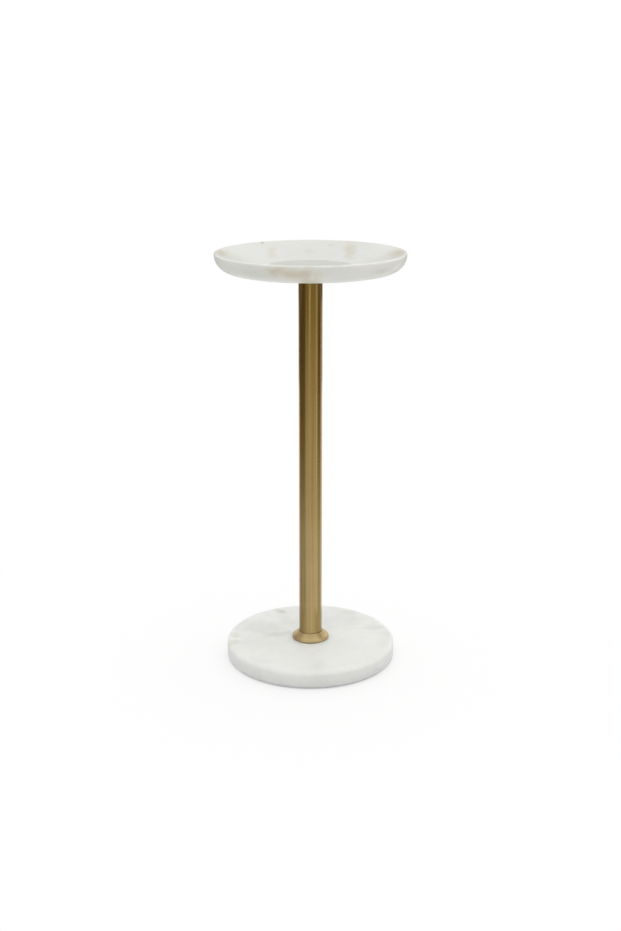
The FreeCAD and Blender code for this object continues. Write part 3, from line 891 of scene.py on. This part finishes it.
def seen_directly(material):
    """One for a ray from the camera, off a shiny surface or through a clear one, and nothing for others."""
    path = add_node(material, "LightPath", {}).outputs
    shiny = calculate(material, "MAXIMUM", path["Is Glossy Ray"], path["Is Transmission Ray"])
    return calculate(material, "MAXIMUM", path["Is Camera Ray"], shiny)


def set_surface(material, surface):
    """Put another shader in the place of the usual one. It isn't sampled as a lamp."""
    tree = material.node_tree
    tree.nodes.remove(tree.nodes["Principled BSDF"])
    tree.links.new(surface, tree.nodes["Material Output"].inputs["Surface"])
    material.cycles.emission_sampling = "NONE"


bpy.ops.object.select_all(action="DESELECT")
bpy.ops.mesh.primitive_circle_add(vertices=FLOOR_SIDES, radius=FLOOR_WIDTH / 2, fill_type="NGON")
floor = bpy.context.object
floor.name = "studio_floor"
paper, floor_place = new_finish("white_paper")
directly = seen_directly(paper)
floor_radius = length_of(paper, floor_place)
fade = ease(paper, floor_radius, FADE_START, FADE_END)
faded = calculate(paper, "MULTIPLY", fade, directly)
clear_of_base = ease(paper, floor_radius, base_radius - BASE_ARRIS, base_radius, FLOOR_LIFT, FLOOR_SHADOW_LIFT)
lift = calculate(paper, "MULTIPLY", directly, clear_of_base)
# The painted shadow round the base, in the paper's colour for the light it throws back.
away = ease(paper, floor_radius, FLOOR_PAINTED_SHADOW_START, FLOOR_PAINTED_SHADOW_END)
paper_colour = lay_over(paper, away, FLOOR_PAINTED_SHADOW, FLOOR_PAPER)
paper_colour = lay_over(paper, directly, paper_colour, FLOOR_SEEN)
lit = add_node(paper, "BsdfDiffuse", {"Color": paper_colour}).outputs[0]
lifted = add_node(paper, "Emission", {"Color": WHITE, "Strength": lift}).outputs[0]
near = add_node(paper, "AddShader", {0: lit, 1: lifted}).outputs[0]
far = add_node(paper, "Emission", {"Color": WHITE, "Strength": 1.0}).outputs[0]
above = add_node(paper, "MixShader", {0: faded, 1: near, 2: far}).outputs[0]
below = add_node(paper, "BsdfTransparent", {}).outputs[0]
underneath = add_node(paper, "NewGeometry", {}).outputs["Backfacing"]
both = add_node(paper, "MixShader", {0: underneath, 1: above, 2: below}).outputs[0]
set_surface(paper, both)
floor.data.materials.append(paper)


# Studio cards
# Dyed cards that slant up and outwards from the floor round the front of the table. Only reflections show
# them. The brown ones give the post its dark sides and head, and the two narrow pale ones its lights.
CARD_SIDES = 360

# A card's foot and head, each as (radius, level).
CARD_FOOT = (0.13, 0.002)
CARD_HEAD = (1.30, 0.95)

# The colours of each card from the foot up, each with its level. Between two levels one colour fades into
# the next.
DARK_LEFT = [
    (0.090, (0.490, 0.480, 0.480, 1.0)),
    (0.155, (0.325, 0.285, 0.225, 1.0)),
    (0.220, (0.220, 0.170, 0.085, 1.0)),
    (0.330, (0.130, 0.097, 0.038, 1.0)),
]
LEFT_OF_MIDDLE = [
    (0.080, (0.800, 0.800, 0.830, 1.0)),
    (0.155, (0.700, 0.660, 0.575, 1.0)),
    (0.345, (0.415, 0.360, 0.230, 1.0)),
    (0.400, (0.250, 0.200, 0.070, 1.0)),
]
MIDDLE_LIGHT = [
    (0.080, (0.950, 0.910, 0.920, 1.0)),
    (0.155, (0.680, 0.620, 0.440, 1.0)),
    (0.330, (0.770, 0.710, 0.520, 1.0)),
    (0.390, (1.170, 1.130, 1.030, 1.0)),
]
RIGHT_OF_MIDDLE = [
    (0.080, (0.830, 0.810, 0.780, 1.0)),
    (0.155, (0.680, 0.640, 0.505, 1.0)),
    (0.345, (0.445, 0.355, 0.190, 1.0)),
    (0.400, (0.290, 0.240, 0.100, 1.0)),
]
RIGHT_LIGHT = [
    (0.080, (1.060, 1.060, 1.060, 1.0)),
    (0.200, (0.990, 0.960, 0.920, 1.0)),
    (0.290, (0.780, 0.700, 0.600, 1.0)),
    (0.420, (0.700, 0.620, 0.520, 1.0)),
]
DARK_RIGHT = [
    (0.080, (0.600, 0.580, 0.530, 1.0)),
    (0.130, (0.450, 0.425, 0.345, 1.0)),
    (0.220, (0.290, 0.235, 0.115, 1.0)),
    (0.340, (0.155, 0.110, 0.030, 1.0)),
]

# Each card: where it starts and ends, in degrees to the right of the camera, and its colours.
CARDS = [
    (-130, -50, DARK_LEFT),
    (-50, -11, LEFT_OF_MIDDLE),
    (-11, -3, MIDDLE_LIGHT),
    (-3, 55, RIGHT_OF_MIDDLE),
    (55, 70, RIGHT_LIGHT),
    (70, 118, DARK_RIGHT),
]


def make_card(name, start, end, foot, head, colours):
    """Bend a card round the table, from one angle to another and from its foot to its head, and dye it.
    Nothing but a reflection shows it."""
    foot_radius, foot_level = foot
    head_radius, head_level = head
    half_step = 180 / CARD_SIDES
    bpy.ops.object.select_all(action="DESELECT")
    bpy.ops.mesh.primitive_circle_add(vertices=CARD_SIDES, radius=foot_radius)
    card = bpy.context.object
    card.name = name
    bpy.ops.object.mode_set(mode="EDIT")
    bpy.ops.mesh.select_mode(type="VERT")
    bpy.ops.mesh.select_all(action="DESELECT")
    mesh = bmesh.from_edit_mesh(card.data)
    for vertex in mesh.verts:
        to_the_right = math.degrees(math.atan2(vertex.co.x, -vertex.co.y))
        past_start = (to_the_right - start + half_step) % 360
        vertex.select_set(past_start > end - start + 2 * half_step)
    bmesh.update_edit_mesh(card.data)
    bpy.ops.mesh.delete(type="VERT")
    bpy.ops.mesh.select_all(action="SELECT")
    bpy.ops.transform.translate(value=(0.0, 0.0, foot_level))
    rise = {"value": (0.0, 0.0, head_level - foot_level)}
    bpy.ops.mesh.extrude_region_move(TRANSFORM_OT_translate=rise)
    widening = head_radius / foot_radius
    bpy.ops.transform.resize(value=(widening, widening, 1.0), center_override=(0.0, 0.0, head_level))
    bpy.ops.object.mode_set(mode="OBJECT")

    dyed, place = new_finish(f"dyed_{name}")
    height = add_node(dyed, "SeparateXYZ", {"Vector": place}).outputs["Z"]
    (lower, colour), *others = colours
    for upper, upper_colour in others:
        inputs = {"Value": height, "From Min": lower, "From Max": upper}
        blend = add_node(dyed, "MapRange", inputs).outputs["Result"]
        colour = lay_over(dyed, blend, colour, upper_colour)
        lower = upper
    set_surface(dyed, add_node(dyed, "Emission", {"Color": colour, "Strength": 1.0}).outputs[0])
    card.data.materials.append(dyed)
    card.visible_camera = False
    card.visible_diffuse = False
    card.visible_shadow = False
    card.visible_transmission = False
    card.visible_volume_scatter = False


for number, (start, end, colours) in enumerate(CARDS, start=1):
    make_card(f"studio_card_{number}", start, end, CARD_FOOT, CARD_HEAD, colours)


# Back cards
# A broad brown card bent round behind the tray and a narrower, paler one below it, which only reflections
# show. They draw thin darker lines along the tray's rim and round its ends.
BACK_RADIUS = 0.42

# Each card: where it starts and ends, in degrees as in front, the levels of its foot and head, and its
# colour.
BACK_CARDS = [
    (85, 275, 0.44, 0.66, (0.20, 0.17, 0.10, 1.0)),
    (132, 228, 0.30, 0.44, (0.45, 0.41, 0.32, 1.0)),
]

for number, (start, end, low, high, colour) in enumerate(BACK_CARDS, start=1):
    back_foot = (BACK_RADIUS, low)
    back_head = (BACK_RADIUS, high)
    make_card(f"back_card_{number}", start, end, back_foot, back_head, [(low, colour)])


# Light
# An even white room, as in a tent of white cloth, a little lighter overhead, behind the table and on its
# right. Reflections show it plain white.
ROOM_LEVEL = 0.89
ROOM_LEAN = (0.09, 0.17, 0.12)

scene = bpy.context.scene
room = bpy.data.worlds.new("white_room")
room.use_nodes = True
room.cycles.sampling_method = "NONE"
scene.world = room
background = room.node_tree.nodes["Background"]
background.inputs["Color"].default_value = WHITE
room_direction = add_node(room, "TexCoord", {}).outputs["Generated"]
inputs = {0: room_direction, 1: ROOM_LEAN}
lean = add_node(room, "VectorMath", inputs, operation="DOT_PRODUCT").outputs["Value"]

# The Mix node's plain numbers are its inputs 2 and 3.
inputs = {0: seen_directly(room), 2: calculate(room, "ADD", lean, ROOM_LEVEL), 3: 1.0}
room_level = add_node(room, "Mix", inputs, data_type="FLOAT").outputs[0]
room.node_tree.links.new(room_level, background.inputs["Strength"])


# Camera
# It stands in front of the table, a little above the tray, and looks slightly down, as when the picture
# was taken. Its lens is a plain one of medium length.
CAMERA_PLACE = (0.0, -1.7518, 0.8126)
CAMERA_PITCH = math.radians(16.873)
CAMERA_LENS = 51.38
CAMERA_SENSOR = 36.0

bpy.ops.object.camera_add(location=CAMERA_PLACE, rotation=(math.pi / 2 - CAMERA_PITCH, 0.0, 0.0))
camera = bpy.context.object
camera.data.lens = CAMERA_LENS
camera.data.sensor_width = CAMERA_SENSOR
scene.camera = camera
scene.view_settings.view_transform = "Standard"
